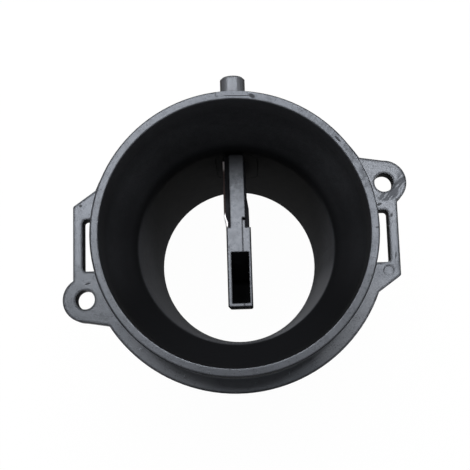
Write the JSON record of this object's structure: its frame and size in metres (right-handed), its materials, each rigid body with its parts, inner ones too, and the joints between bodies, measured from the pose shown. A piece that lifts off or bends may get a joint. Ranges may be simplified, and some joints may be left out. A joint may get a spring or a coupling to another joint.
{
  "type": "mass airflow sensor",
  "caption": "Black plastic duct section with a wide inlet collar, an eared flange with strap slots, a side-mounted sensor head with connector, and a measuring blade across the bore.",
  "frame": {"origin": "centre of the duct's outlet end face, on which it stands", "axes": "+Z along the bore from the outlet to the inlet, +Y towards the sensor head and the locating peg, +X to the right when looking into the inlet with the head at the top"},
  "size_m": [0.1018, 0.0963, 0.0755],
  "materials": {
    "duct_plastic": "black moulded plastic, satin, lightly scuffed",
    "module_plastic": "dark grey moulded plastic, satin",
    "base_aluminium": "rolled sheet, sheared edges",
    "board_ceramic": "fired ceramic board",
    "chip_resin": "moulded chip resin",
    "capacitor_ceramic": "fired ceramic with tinned ends",
    "sensing_silicon": "polished silicon",
    "bond_metal": "drawn ribbon",
    "gel_silicone": "clear soft gel",
    "thermistor_resin": "dipped resin bead",
    "lead_steel": "tinned wire",
    "seal_rubber": "moulded rubber",
    "screw_steel": "zinc plated",
    "sleeve_steel": "turned sleeve",
    "insert_brass": "turned brass",
    "terminal_brass": "tin plated pins"
  },
  "bodies": {
    "root": {"duct_housing": "duct_plastic", "sensor_housing": "module_plastic", "bypass_cover": "module_plastic", "electronics_lid": "module_plastic", "base_plate": "base_aluminium", "circuit_board": "board_ceramic", "control_chip": "chip_resin", "capacitor_1": "capacitor_ceramic", "capacitor_2": "capacitor_ceramic", "capacitor_3": "capacitor_ceramic", "sensing_chip": "sensing_silicon", "bond_wires": "bond_metal", "protective_gel": "gel_silicone", "thermistor_bead": "thermistor_resin", "thermistor_leads": "lead_steel", "o_ring_seal": "seal_rubber", "fixing_screws": "screw_steel", "mounting_sleeves": "sleeve_steel", "threaded_inserts": "insert_brass", "terminal_1": "terminal_brass", "terminal_2": "terminal_brass", "terminal_3": "terminal_brass", "terminal_4": "terminal_brass", "terminal_5": "terminal_brass"}
  },
  "joints": []
}
